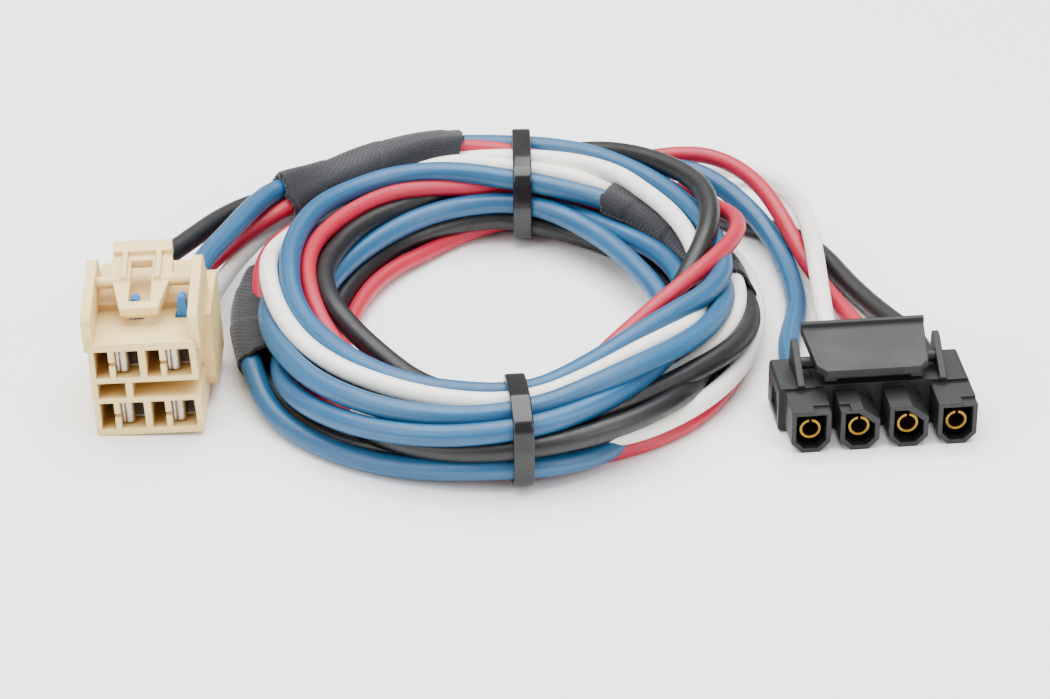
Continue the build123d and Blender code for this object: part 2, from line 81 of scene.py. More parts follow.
LEAD_IN = {
    Wire.BLACK: [(-47.94, -12.0, 10.68), (-47.6, -1.0, 10.6), (-42.6, 9.0, 9.8), (-38.4, 18.6, 8.6),
                 (-32.9, 26.1, 7.2)],
    Wire.BLUE: [(-41.35, -12.0, 11.03), (-41.2, -1.6, 11.1), (-37.4, 9.2, 10.6), (-34.6, 18.0, 10.1),
                (-31.7, 24.7, 9.5)],
    Wire.RED: [(-47.55, -12.0, 3.2), (-47.2, -1.8, 3.2), (-41.8, 8.0, 4.6), (-36.4, 16.2, 6.3),
               (-30.2, 23.0, 7.6)],
    Wire.WHITE: [(-40.96, -12.0, 3.54), (-40.9, -1.4, 3.4), (-38.6, 9.4, 3.1), (-35.6, 17.4, 3.8),
                 (-31.1, 24.05, 5.2)],
}
LEAD_OUT = {
    Wire.BLUE: [(25.9, 37.4, 6.2), (30.2, 34.2, 5.7), (34.4, 28.2, 4.8), (37.9, 22.8, 2.6),
                (39.7, 14.8, 1.5), (40.3, 4.4, 1.5), (37.35, -9.75, 3.05), (38.78, -21.97, 3.05)],
    Wire.WHITE: [(26.5, 43.0, 2.8), (32.1, 44.8, 2.4), (37.7, 43.5, 1.9), (41.5, 39.1, 1.7),
                 (42.5, 30.6, 2.9), (42.6, 21.4, 5.6), (42.8, 12.4, 6.4), (43.0, 3.2, 5.4),
                 (43.66, -9.01, 3.05), (45.09, -21.23, 3.05)],
    Wire.RED: [(26.6, 40.4, 7.2), (31.8, 37.9, 7.2), (36.1, 31.6, 6.9), (39.0, 24.0, 5.6),
               (41.7, 16.2, 2.9), (45.2, 6.6, 2.0), (49.96, -8.27, 3.05), (51.40, -20.49, 3.05)],
    Wire.BLACK: [(26.0, 35.0, 2.0), (30.6, 31.2, 1.6), (35.0, 28.8, 1.5), (40.6, 26.0, 1.5),
                 (44.6, 20.2, 1.5), (47.6, 11.6, 1.5), (51.0, 3.6, 1.9), (56.27, -7.53, 3.05),
                 (57.70, -19.75, 3.05)],
}
TAIL = {
    Wire.BLUE: [(9.5, 37.3, 4.6), (18.0, 38.2, 5.8)],
    Wire.RED: [(9.5, 40.2, 4.2), (18.0, 41.0, 5.6)],
    Wire.WHITE: [(9.5, 40.4, 1.9), (18.0, 42.2, 2.3)],
    Wire.BLACK: [(9.5, 36.6, 1.9), (18.0, 36.6, 1.7)],
}
"""Points from the coil's last pass under the back tie to the start of each lead out."""

# Slots of each wire in the bundle: (turns since the back tie, offset outward, height), mm.
SLOTS = {
    Wire.BLUE: [
        (-.11, 5.8, 9.6), (-.06, 5.6, 10.2), (0, 5.3, 10.1), (.044, 5.1, 9.9), (.077, 4.3, 9.6),
        (.116, 3.4, 9.2), (.15, 2.6, 8.8), (.19, 1.9, 8.6), (.23, 1.2, 8.5), (.264, .3, 8.4),
        (.295, -2.8, 8.8), (.324, -5.3, 9), (.356, -6.9, 9), (.391, -7.4, 9), (.443, -6.5, 9),
        (.485, -4.7, 9), (.526, -4.4, 8.8), (.571, -3.4, 8.6), (.609, -2.7, 8.6), (.655, -1.8, 8.6),
        (.696, -.8, 8.6), (.73, -.3, 9.2), (.76, -.1, 9.4), (.805, .9, 9), (.845, 1.6, 8.6),
        (.881, 1.3, 8.1), (.911, .3, 8.1), (.962, -3.1, 8.2), (1, -5, 8.2), (1.02, -5.4, 8.2),
        (1.065, -4.7, 7.4), (1.104, -3, 6.6), (1.16, -1.6, 5.8), (1.21, .6, 5.6), (1.259, 2.5, 6),
        (1.293, 2.1, 6.4), (1.337, 1.1, 7.2), (1.376, .5, 7.8), (1.415, .5, 8.2), (1.46, 1.2, 8.6),
        (1.489, 2.4, 8.8), (1.519, 3, 8.3), (1.552, 3.8, 8), (1.579, 4.3, 8), (1.613, 4.4, 7.8),
        (1.645, 3.8, 7.4), (1.682, 3.2, 7), (1.709, 2.8, 6.4), (1.75, .9, 6.6), (1.8, 1.2, 6.2),
        (1.87, 1.4, 5.6), (1.94, 0, 4.6), (2, -2.6, 4.9), (2.06, -4.3, 5), (2.115, -5.1, 5),
        (2.159, -3.8, 5), (2.2, -3.2, 4.6), (2.25, -3.4, 4.2), (2.3, -3.2, 4.4), (2.36, -1.8, 5.2),
        (2.406, -.2, 6), (2.43, 1, 6.4), (2.463, 3.2, 6.8), (2.49, 4.6, 6.9), (2.517, 4.9, 6.4),
        (2.549, 5.3, 6), (2.576, 5.5, 5.8), (2.609, 5.4, 5.4), (2.637, 4.6, 5), (2.67, 3, 4.4),
        (2.7, .6, 4.2), (2.74, -2.9, 4.6), (2.79, -3.8, 4.6), (2.831, -4.4, 4.6), (2.87, -4.7, 4.8),
        (2.92, -4.8, 5.2), (2.957, -5.4, 5.4), (3, -5.8, 5.4), (3.02, -6.1, 5.4), (3.074, -7.2, 5.2),
        (3.111, -7.6, 5), (3.155, -7.6, 4.8), (3.188, -7, 4.6), (3.225, -5.8, 4.2), (3.27, -4.6, 3.2),
        (3.33, -3, 2), (3.4, 0, 1.6), (3.45, 3.2, 1.9), (3.49, 4.6, 2.6), (3.518, 4.3, 2.3),
        (3.552, 3.9, 1.7), (3.582, 4, 1.5), (3.616, 4.1, 1.5), (3.642, 4.2, 1.8), (3.67, 4.6, 2.6),
        (3.696, 3.2, 4.6), (3.74, 2.9, 5), (3.79, 2.9, 5), (3.85, 3.2, 4.2), (3.93, 4.2, 4.2),
        (4, 5.4, 4.5)],
    Wire.WHITE: [
        (-.11, 3.6, 6.4), (-.06, 2.6, 8.2), (0, .4, 9.7), (.052, .3, 9.4), (.09, 0, 8.9),
        (.123, -1.1, 8.4), (.162, -1.4, 7.9), (.198, -1.7, 7.5), (.25, -1.9, 6.4), (.3, -2.2, 6.6),
        (.33, -2.6, 7.6), (.359, -4.2, 8.4), (.406, -4.6, 8.8), (.452, -3.2, 9.2), (.488, -1.2, 9.4),
        (.522, -1, 9), (.562, -.5, 8.6), (.596, 0, 8.4), (.634, .8, 8.2), (.667, 1.3, 8.2),
        (.699, 1.6, 8.4), (.728, 1.9, 8.8), (.75, 2.1, 8.8), (.773, 2.6, 7.8), (.8, 2.6, 6.4),
        (.85, 1.5, 5.6), (.91, 1, 6.4), (.952, .8, 8.6), (1, -2.2, 9), (1.017, -2.6, 9),
        (1.055, -1.4, 8.6), (1.08, -.8, 7.8), (1.11, .2, 7), (1.16, 1.6, 6.2), (1.2, 2.2, 5.8),
        (1.225, 3, 5.8), (1.242, 3.2, 5.6), (1.267, 2.9, 5.6), (1.291, 2.3, 5.4), (1.33, .6, 4.6),
        (1.38, -1.6, 4.4), (1.44, -1.6, 5), (1.5, -1.4, 5.6), (1.58, -1.2, 5.2), (1.66, -.4, 4.2),
        (1.74, -1, 3), (1.82, 0, 3), (1.92, 1.4, 4.8), (2, .4, 4.8), (2.06, 2.4, 4.6), (2.12, 3.8, 4.6),
        (2.171, 4.9, 4), (2.192, 4.9, 3.9), (2.217, 4.6, 3.8), (2.247, 4, 3.8), (2.274, 3.6, 3.8),
        (2.299, 3.3, 3.8), (2.326, 3.1, 3.8), (2.35, 2.7, 3.8), (2.377, 2.4, 3.6), (2.402, 2.2, 3.2),
        (2.44, 1.6, 2.8), (2.5, 1, 3), (2.58, .4, 3.2), (2.66, -.6, 2), (2.74, -1.2, 1.4),
        (2.82, -1.6, 1.4), (2.92, -1.8, 2.2), (3, -.9, 2.4), (3.08, 0, 1.6), (3.16, 1, 1.4),
        (3.24, .8, 1.4), (3.34, -3.8, 1.4), (3.44, -3, 2), (3.5, -2.4, 2.4), (3.58, -1, 2.4),
        (3.64, 1.6, 2.8), (3.696, .8, 2.4), (3.74, .5, 2.4), (3.79, .5, 2.4), (3.85, 1.6, 1.8),
        (3.93, 4.4, 2), (4, 5.7, 2.4)],
    Wire.RED: [
        (-.11, 3.4, 8.4), (-.06, 3.6, 9.4), (0, 2.9, 9.7), (.05, 4, 8.6), (.106, 5.4, 8.2),
        (.136, 5.6, 8.4), (.161, 6.2, 8.8), (.177, 6.4, 9.4), (.197, 5.1, 10.2), (.218, 2.6, 10.9),
        (.238, -.1, 11.2), (.262, -3.3, 11.2), (.284, -5.8, 10.4), (.316, -8.5, 9.2), (.365, -10, 8),
        (.425, -8.8, 6.8), (.466, -6.6, 5.8), (.5, -4.8, 5.6), (.56, -4.8, 5.4), (.62, -5, 5.6),
        (.68, -4, 6.4), (.729, -2.9, 8), (.749, -2.5, 8.2), (.78, -1.8, 8), (.813, -1.2, 7.4),
        (.851, -1.2, 7), (.892, -1.1, 6.8), (.929, -2.1, 6.6), (.961, -3.2, 6.4), (1, -2.7, 6.5),
        (1.06, -2, 5.2), (1.11, -1.8, 4.4), (1.16, -1.4, 3.6), (1.2, -.4, 3.6), (1.239, .3, 4.2),
        (1.275, -.4, 4.8), (1.308, -2.1, 5.2), (1.36, -3.4, 5.4), (1.44, -3.2, 5.6), (1.5, -1, 6.8),
        (1.56, -1, 4.4), (1.64, -.4, 3.8), (1.7, 1.4, 4), (1.74, 3.2, 5.6), (1.778, 4.2, 7),
        (1.817, 4.4, 7), (1.85, 3.8, 6.2), (1.88, 3.2, 5.8), (1.94, 2.8, 6.2), (2, 2.7, 7.1),
        (2.06, 2.8, 5.4), (2.12, 4.2, 2.6), (2.18, 4.2, 1.6), (2.25, 3.6, 1.4), (2.312, 2.9, 1.4),
        (2.338, 2.8, 1.3), (2.365, 2.4, 1.3), (2.387, 2, 1.3), (2.407, 1.6, 1.3), (2.429, 1.6, 1.4),
        (2.451, 1.4, 1.7), (2.5, 2, 2.4), (2.56, 1, 1.6), (2.64, -2.4, 1.4), (2.7, -5, 1.6),
        (2.756, -6.9, 2), (2.803, -7.6, 2.2), (2.846, -7.6, 2.2), (2.902, -7.4, 2), (2.952, -5.4, 1.8),
        (3, -3.2, 2.2), (3.08, -1.6, 1.5), (3.16, -.6, 1.4), (3.24, -.6, 1.4), (3.32, -3.4, 2),
        (3.42, -5.2, 3), (3.5, -4.6, 2.8), (3.58, -3, 1.8), (3.64, 2.2, 5.2), (3.696, .8, 5),
        (3.74, .4, 5), (3.79, .5, 4.8), (3.85, 1.6, 3.8), (3.93, 2.4, 3.6), (4, 3.6, 4.3)],
    Wire.BLACK: [
        (-.11, 6.2, 6.8), (-.06, 6.2, 7.4), (0, 5.7, 7.2), (.02, 6.6, 7.4), (.043, 7.8, 8.2),
        (.059, 7.4, 9.2), (.082, 6.4, 10.3), (.107, 5.5, 11), (.134, 5.1, 11.4), (.159, 4.3, 11.6),
        (.188, 2.2, 11.5), (.214, -.1, 11), (.236, -2.6, 9.8), (.255, -4.3, 8.6), (.275, -5.6, 7.8),
        (.31, -7.2, 7.2), (.36, -8.4, 6.6), (.43, -7.6, 6), (.47, -6.2, 7.4), (.5, -5, 7.2),
        (.55, -6.8, 6.4), (.602, -7.8, 6), (.623, -8, 6.2), (.65, -7.7, 6.6), (.693, -6.4, 7),
        (.713, -5.2, 7.6), (.734, -4.5, 7.6), (.766, -3.5, 7.2), (.787, -3.1, 6.6), (.815, -2.8, 6),
        (.848, -2.4, 5.8), (.873, -2.2, 5.6), (.903, -2, 5.2), (.93, -1.2, 5), (.97, -.4, 6.2), (1, 0, 7),
        (1.06, 1.2, 5.4), (1.11, 1, 4.2), (1.16, 1.8, 3.6), (1.2, 1.8, 3.4), (1.248, 3, 3.8),
        (1.269, 3.1, 4.2), (1.296, 2.6, 4.6), (1.326, 1.2, 5), (1.355, -.1, 5.2), (1.388, -.9, 5.6),
        (1.44, -.8, 6.2), (1.5, -.6, 6.6), (1.566, -1.4, 6.2), (1.6, -.8, 5.8), (1.639, .2, 5.6),
        (1.672, .8, 5.4), (1.711, -.6, 5.2), (1.76, -1.2, 5), (1.84, -.4, 4.2), (1.92, 1.4, 4.2),
        (2, 3, 5), (2.06, 1.2, 3.6), (2.12, -1.2, 2.2), (2.2, -1.6, 1.7), (2.28, -1, 1.6),
        (2.34, .2, 3.2), (2.37, 1.2, 4.8), (2.391, 2, 5.2), (2.42, 2.8, 5.2), (2.444, 3.4, 5),
        (2.464, 4, 4.8), (2.49, 4.6, 4.5), (2.518, 4.7, 3.8), (2.551, 4.4, 3.4), (2.577, 3.6, 3),
        (2.62, 1.2, 2.4), (2.66, -1.6, 2.2), (2.7, -3.8, 2.4), (2.74, -5.2, 2.8), (2.79, -6.2, 3),
        (2.835, -6.3, 2.9), (2.9, -5.7, 2.8), (2.956, -5.9, 2.7), (3, -5.9, 2.6), (3.021, -6.4, 2.5),
        (3.05, -5.6, 1.6), (3.08, -4.4, 1.5), (3.12, -3.2, 1.5), (3.16, -2.6, 1.5), (3.24, -2.4, 1.5),
        (3.32, -3.4, 3.6), (3.4, .4, 1.8), (3.44, 2.6, 2), (3.463, 3.2, 2.2), (3.5, 2.6, 2.6),
        (3.56, 1.4, 1.8), (3.64, 3.4, 1.6), (3.696, 3.2, 1.9), (3.74, 2.9, 2.1), (3.79, 2.9, 2.1),
        (3.85, 4, 1.8), (3.93, 3, 1.8), (4, 3, 2.6)],
}


@dataclass(frozen=True)
class CoilPlan:
    """Lays the four wires side by side through four turns of the coil.

    Every turn is measured clockwise, seen from above, from the back tie. A wire's place in the
    bundle is an offset outward from the middle oval and a height. The slots are joined by a smooth
    curve, then strands that share a section of the coil are eased apart at the control points.
    Nothing keeps them apart between the points, so steep crossings still run into one another.
    """

    half_x: float = 29.0
    half_y: float = 33.45
    middle_y: float = -1.15
    turns: int = 4
    points_per_turn: int = 32
    rounds: int = 260
    squeeze: float = 0.965
    tie_phase: tuple = (0.012, 0.488)
    tie_half_width: tuple = (7.0, 6.0)
    tie_top: tuple = (11.6, 10.9)
    strap: float = 1.0
    tie_reach: float = 0.045
    wraps: tuple = ((0, -0.16, -0.035), (1, 1.09, 1.24), (3, 3.69, 3.795))
    wrap_room: float = 0.45
    push_share: float = 0.45
    even_share: float = 0.22
    drift_kept: float = 0.997
    tie_corner: float = 3.4

    def on_oval(self, turn: np.ndarray, out: np.ndarray, height: np.ndarray) -> np.ndarray:
        """Turns bundle coordinates into points.

        Args:
            turn: turns since the back tie, clockwise from above.
            out: offset outward from the middle oval, mm.
            height: height over the table, mm.

        Returns:
            Points in mm from the coil's centre, one row each.
        """
        angle = np.pi / 2 - 2 * np.pi * np.asarray(turn)
        cos, sin = np.cos(angle), np.sin(angle)
        normal = np.stack([cos / self.half_x, sin / self.half_y], -1)
        normal /= np.linalg.norm(normal, axis=-1, keepdims=True)
        return np.stack([self.half_x * cos + normal[..., 0] * out,
                         self.middle_y + self.half_y * sin + normal[..., 1] * out, height], -1)

    @staticmethod
    def smooth(knots: list, turn: np.ndarray) -> np.ndarray:
        """Joins slots by a cubic with monotone tangents, so that it never overshoots a slot.

        Args:
            knots: rows of (turn, offset, height).
            turn: where it is wanted.

        Returns:
            Rows of (offset, height).
        """
        table = np.array(knots, float)
        x, y = table[:, 0], table[:, 1:]
        step = np.diff(x)[:, None]
        slope = np.diff(y, axis=0) / step
        tangent = np.zeros_like(y)
        same = slope[:-1] * slope[1:] > 0
        w0, w1 = 2 * step[1:] + step[:-1], step[1:] + 2 * step[:-1]
        with np.errstate(divide="ignore", invalid="ignore"):
            mean = (w0 + w1) / (w0 / slope[:-1] + w1 / slope[1:])
        tangent[1:-1] = np.where(same, mean, 0)
        i = np.clip(np.searchsorted(x, turn, side="right") - 1, 0, len(x) - 2)
        h = (x[i + 1] - x[i])[:, None]
        s = ((turn - x[i]) / (x[i + 1] - x[i]))[:, None]
        return (y[i] * (1 + 2 * s) * (1 - s) ** 2 + tangent[i] * h * s * (1 - s) ** 2
                + y[i + 1] * s * s * (3 - 2 * s) + tangent[i + 1] * h * s * s * (s - 1))

    def solve(self) -> dict:
        """Eases the strands apart at the control points.

        Returns:
            For each wire, its points round the coil in mm from the coil's centre.
        """
        n = self.points_per_turn
        lead = n // 8
        count = self.turns * n + lead + 1
        turn = (np.arange(count) - lead) / n
        first = np.array([self.smooth(SLOTS[w], np.clip(turn, SLOTS[w][0][0], None)) for w in WIRES])
        radius = np.array([w.diameter / 2 for w in WIRES])
        passes = self.turns + 2
        room = np.full((len(WIRES), passes * n, 2), np.nan)
        start = n - lead
        room[:, start:start + count] = first
        valid = np.zeros(passes * n, bool)
        valid[start:start + count] = True
        valid = np.broadcast_to(valid, (len(WIRES), passes * n)).reshape(-1, n).T
        along = (np.arange(passes * n) - n) / n
        wrap_id = np.full(passes * n, -1)
        for name, begin, end in self.wraps:
            wrap_id[(along >= begin) & (along <= end)] = name
        wrap_id = np.broadcast_to(wrap_id, (len(WIRES), passes * n)).reshape(-1, n).T
        r = np.repeat(radius, passes)[None, :].repeat(n, 0)
        apart = (r[:, :, None] + r[:, None, :]) * self.squeeze
        wrapped = wrap_id >= 0
        apart += self.wrap_room * ((wrap_id[:, :, None] != wrap_id[:, None, :])
                                   & (wrapped[:, :, None] | wrapped[:, None, :]))
        both = valid[:, :, None] & valid[:, None, :] & ~np.eye(valid.shape[1], dtype=bool)[None]
        phase = np.arange(n) / n
        near = np.array([np.abs((phase - p + 0.5) % 1 - 0.5) for p in self.tie_phase])
        tight = np.clip(1 - near / self.tie_reach, 0, 1)
        floor = r + self.strap * (tight.max(0) > 0)[:, None] * np.clip(tight.max(0) * 2, 0, 1)[:, None]
        target = room.copy()
        for _ in range(self.rounds):
            q = room.reshape(-1, n, 2).transpose(1, 0, 2)
            gap = q[:, :, None] - q[:, None, :]
            far = np.sqrt((gap**2).sum(-1)) + 1e-9
            short = np.where(both, np.clip(apart - far, 0, None), 0)
            push = np.nansum(np.where(both[..., None], gap / far[..., None] * short[..., None], 0), 2)
            push *= self.push_share
            moved = q + push
            moved[..., 1] = np.maximum(moved[..., 1], floor)
            for k, p in enumerate(self.tie_phase):
                inside = self.into_tie(moved, r, k)
                share = tight[k][:, None, None]
                moved = moved + share * (inside - moved)
            room = moved.transpose(1, 0, 2).reshape(len(WIRES), -1, 2)
            drift = room - target
            part = drift[:, start:start + count]
            padded = np.concatenate([part[:, :1], part, part[:, -1:]], 1)
            part = part + self.even_share * (padded[:, 2:] + padded[:, :-2] - 2 * part)
            drift[:, start:start + count] = part * self.drift_kept
            room = target + drift
        LOG.info("coil: deepest press at the control points %.2f mm, more between them", float(short.max()))
        found = room[:, start:start + count]
        return {w: self.on_oval(turn, found[i, :, 0], found[i, :, 1]) for i, w in enumerate(WIRES)}

    def into_tie(self, place: np.ndarray, r: np.ndarray, k: int) -> np.ndarray:
        """Brings strand centres inside a tie's rounded section.

        Args:
            place: strand centres, (offset, height).
            r: strand radii.
            k: which tie.

        Returns:
            The nearest centres inside the section.
        """
        middle = np.array([0.0, (self.strap + self.tie_top[k]) / 2])
        half = np.array([self.tie_half_width[k], (self.tie_top[k] - self.strap) / 2]) - self.tie_corner
        away = place - middle
        core = np.clip(away, -half, half)
        rest = away - core
        reach = np.sqrt((rest**2).sum(-1, keepdims=True)) + 1e-9
        limit = self.tie_corner - r[..., None]
        return middle + core + rest / reach * np.minimum(reach, limit)


# --------------------------------------------------------------------------- helpers


def srgb(code: str) -> tuple:
    """Turns an sRGB hex colour into linear RGBA.

    Args:
        code: six hex digits after a hash.

    Returns:
        Linear red, green, blue and 1.
    """
    parts = [int(code[i:i + 2], 16) / 255 for i in (1, 3, 5)]
    return tuple(p / 12.92 if p <= 0.04045 else ((p + 0.055) / 1.055) ** 2.4 for p in parts) + (1.0,)


def add_node(tree: bpy.types.NodeTree, kind: str, inputs: dict = None, **settings) -> bpy.types.Node:
    """Adds a shader node.

    Args:
        tree: the material's node tree.
        kind: the node type, without its ShaderNode prefix.
        inputs: values or output sockets for its inputs, by name or number.
        settings: the node's own properties.

    Returns:
        The node.
    """
    node = tree.nodes.new("ShaderNode" + kind)
    for key, value in settings.items():
        setattr(node, key, value)
    for key, value in (inputs or {}).items():
        if isinstance(value, bpy.types.NodeSocket):
            tree.links.new(value, node.inputs[key])
        else:
            node.inputs[key].default_value = value
    return node


def remap(tree: bpy.types.NodeTree, value: bpy.types.NodeSocket, low: float, high: float,
          to_low: float, to_high: float) -> bpy.types.NodeSocket:
    """Adds a node that maps the range from low to high onto the one from to_low to to_high.

    Returns:
        The result's socket.
    """
    return add_node(tree, "MapRange", {"Value": value, "From Min": low, "From Max": high,
                                       "To Min": to_low, "To Max": to_high}).outputs[0]


def noise(tree: bpy.types.NodeTree, place: bpy.types.NodeSocket, **inputs) -> bpy.types.NodeSocket:
    """Adds a noise node at a place, with its Scale, Detail or Distortion given by name."""
    return add_node(tree, "TexNoise", {"Vector": place, **inputs}).outputs["Fac"]


def bump(tree: bpy.types.NodeTree, height: bpy.types.NodeSocket, deep: float,
         **inputs) -> bpy.types.NodeSocket:
    """Adds a bump node of a depth in mm, with its Strength and Normal given by name."""
    return add_node(tree, "Bump", {"Height": height, "Distance": deep * MM, **inputs}).outputs[0]


def mix_colours(tree: bpy.types.NodeTree, share: bpy.types.NodeSocket, first: tuple,
                second: tuple) -> bpy.types.NodeSocket:
    """Adds a node that mixes a colour or colour socket with a second colour, by the share.

    Returns:
        The result's socket.
    """
    return add_node(tree, "Mix", {"Factor": share, 6: first, 7: second}, data_type="RGBA").outputs[2]


def grid_mesh(name: str, points: np.ndarray, wrap: tuple, uv: tuple = None) -> bpy.types.Object:
    """Makes a mesh from a grid of points, with its faces outward.

    Args:
        name: the object's name.
        points: rows by columns by 3, mm.
        wrap: whether the rows close on themselves, and whether the columns do.
        uv: running lengths along the rows and the columns, one more than the points if closed.

    Returns:
        The object, linked to the scene.
    """
    rows, cols = points.shape[:2]
    i = np.arange(rows if wrap[0] else rows - 1)[:, None, None]
    j = np.arange(cols if wrap[1] else cols - 1)[None, :, None]
    di, dj = np.array([0, 1, 1, 0]), np.array([0, 0, 1, 1])
    gi, gj = i + di + 0 * j, j + dj + 0 * i
    quads = ((gi % rows) * cols + gj % cols).reshape(-1, 4)
    corners = points.reshape(-1, 3)
    middle = corners.mean(0)
    a, b, c, d = (corners[quads[:, k]] - middle for k in range(4))
    volume = (np.cross(b - a, d - a) * a).sum() + (np.cross(c - b, d - b) * b).sum()
    order = [0, 1, 2, 3] if volume > 0 else [3, 2, 1, 0]
    quads = quads[:, order]
    mesh = bpy.data.meshes.new(name)
    mesh.from_pydata((corners * MM).tolist(), [], quads.tolist())
    if uv is not None:
        lu, lv = np.asarray(uv[0]), np.asarray(uv[1])
        flat = np.stack([lu[gi.reshape(-1, 4)[:, order]], lv[gj.reshape(-1, 4)[:, order]]], -1)
        mesh.uv_layers.new(name="UVMap").data.foreach_set("uv", flat.reshape(-1).astype(np.float32))
    mesh.shade_smooth()
    mesh.validate()
    made = bpy.data.objects.new(name, mesh)
    bpy.context.scene.collection.objects.link(made)
    return made


def convex_reach(centres: np.ndarray, radii: np.ndarray, angles: np.ndarray) -> np.ndarray:
    """How far the smallest convex outline round some circles reaches from its middle.

    The outline's support in a direction is the furthest circle edge that way. Its reach in a
    direction is the smallest support seen at any angle, divided by the cosine between the two.

    Args:
        centres: circle centres from the middle, (..., circles, 2).
        radii: circle radii.
        angles: directions wanted, in radians.

    Returns:
        The reach, (..., directions).
    """
    least_cos = 0.15
    wide = np.linspace(0, 2 * np.pi, 145)[:-1]
    way = np.stack([np.cos(wide), np.sin(wide)])
    support = (centres @ way + radii[..., None]).max(-2)
    cos = np.cos(angles[:, None] - wide[None])
    ahead = cos > least_cos
    ratio = np.where(ahead, support[..., None, :] / np.where(ahead, cos, 1), np.inf)
    return ratio.min(-1)


# --------------------------------------------------------------------------- finishes


@dataclass(frozen=True)
class Finish:
    """A finish: its real material and process, main colour and roughness."""

    title: str
    colour: str
    roughness: float

    def build(self) -> bpy.types.Material:
        """Makes the material.

        Returns:
            The Blender material.
        """
        material = bpy.data.materials.new(self.title)
        material.use_nodes = True
        tree = material.node_tree
        shader = tree.nodes["Principled BSDF"]
        shader.inputs["Base Color"].default_value = srgb(self.colour)
        shader.inputs["Roughness"].default_value = self.roughness
        material.diffuse_color = srgb(self.colour)
        self.detail(tree, shader)
        return material

    def detail(self, tree: bpy.types.NodeTree, shader: bpy.types.Node) -> None:
        """Adds what the finish shows up close."""


@dataclass(frozen=True)
class ExtrudedJacket(Finish):
    """PVC wire jacket: faint die lines run along it, lighter streaks along it are painted highlights, and
    its surface is slightly dimpled.
    """

    # The second colour is a painted highlight, mixed into the streaks by up to share.
    painted_highlight: str = "#ffffff"
    lines: float = 2.6
    depth: float = 0.05
    share: float = 0.5
    run: float = 60.0
    length: float = 1000.0
    coat: float = 0.06
    coat_roughness: float = 0.3

    def detail(self, tree: bpy.types.NodeTree, shader: bpy.types.Node) -> None:
        """Die lines are noise on a circle, so that they close round the wire, drawn out along it. The same
        noise also paints lighter streaks into the colour: painted highlights.
        """
        coordinate = add_node(tree, "TexCoord")
        uv = add_node(tree, "SeparateXYZ", {0: coordinate.outputs["UV"]})
        turn = add_node(tree, "Math", {0: uv.outputs["Y"], 1: 2 * math.pi}, operation="MULTIPLY")
        cos = add_node(tree, "Math", {0: turn.outputs[0]}, operation="COSINE")
        sin = add_node(tree, "Math", {0: turn.outputs[0]}, operation="SINE")
        far = add_node(tree, "Math", {0: uv.outputs["X"], 1: self.length / self.run},
                       operation="MULTIPLY")
        place = add_node(tree, "CombineXYZ", {"X": cos.outputs[0], "Y": sin.outputs[0],
                                              "Z": far.outputs[0]})
        lines = noise(tree, place.outputs[0], Scale=self.lines, Detail=2.5)
        # Painted highlight: lighter streaks of the second colour run along the wire, where reflected light
        # would.
        painted_highlight_band = remap(tree, lines, low=0.46, high=0.66, to_low=0.0, to_high=self.share)
        colour = mix_colours(tree, painted_highlight_band, srgb(self.colour), srgb(self.painted_highlight))
        dimple = noise(tree, coordinate.outputs["Object"], Scale=900.0, Detail=3.0)
        rough = remap(tree, dimple, low=0.3, high=0.7,
                      to_low=self.roughness - 0.06, to_high=self.roughness + 0.08)
        ridge = bump(tree, lines, self.depth, Strength=0.8)
        skin = bump(tree, dimple, 0.006, Strength=0.6, Normal=ridge)
        tree.links.new(colour, shader.inputs["Base Color"])
        tree.links.new(rough, shader.inputs["Roughness"])
        tree.links.new(skin, shader.inputs["Normal"])
        shader.inputs["Coat Weight"].default_value = self.coat
        shader.inputs["Coat Roughness"].default_value = self.coat_roughness


@dataclass(frozen=True)
class MouldedPlastic(Finish):
    """Injection-moulded plastic: soft edges, a fine tool texture, slight flow marks and painted shade in
    its recesses.
    """

    shade: str = "#000000"
    # The deep colour is painted shade, laid into the recesses that ambient occlusion finds.
    deep: str = "#000000"
    painted_shade_share: float = 0.0
    edge: float = 0.2
    grain: float = 0.08
    grain_depth: float = 0.004
    glow: float = 0.0

    def detail(self, tree: bpy.types.NodeTree, shader: bpy.types.Node) -> None:
        """Flow marks tint the colour, recesses are darkened towards the deep colour as painted shade, and
        edges are rounded.
        """
        coordinate = add_node(tree, "TexCoord")
        flow = noise(tree, coordinate.outputs["Object"], Scale=140.0, Detail=3.0, Distortion=0.6)
        tint = remap(tree, flow, low=0.35, high=0.75, to_low=0.0, to_high=0.45)
        result = mix_colours(tree, tint, srgb(self.colour), srgb(self.shade))
        # Painted shade: where ambient occlusion finds recesses, the colour is darkened towards the deep
        # colour.
        if self.painted_shade_share > 0:
            painted_shade_occlusion = add_node(tree, "AmbientOcclusion", {"Distance": 5.0 * MM}, samples=6,
                              only_local=False)
            depth = remap(tree, painted_shade_occlusion.outputs["AO"], low=0.62, high=0.12,
                          to_low=0.0, to_high=self.painted_shade_share)
            result = mix_colours(tree, depth, result, srgb(self.deep))
        grain = noise(tree, coordinate.outputs["Object"], Scale=1.0 / (self.grain * MM), Detail=2.0)
        rough = remap(tree, flow, low=0.3, high=0.7,
                      to_low=self.roughness - 0.05, to_high=self.roughness + 0.07)
        soft = add_node(tree, "Bevel", {"Radius": self.edge * MM}, samples=6)
        skin = bump(tree, grain, self.grain_depth, Strength=0.7, Normal=soft.outputs[0])
        tree.links.new(result, shader.inputs["Base Color"])
        tree.links.new(rough, shader.inputs["Roughness"])
        tree.links.new(skin, shader.inputs["Normal"])
        if self.glow > 0:
            shader.inputs["Subsurface Weight"].default_value = self.glow
            shader.inputs["Subsurface Radius"].default_value = (1.0, 0.62, 0.32)
            shader.inputs["Subsurface Scale"].default_value = 1.3 * MM


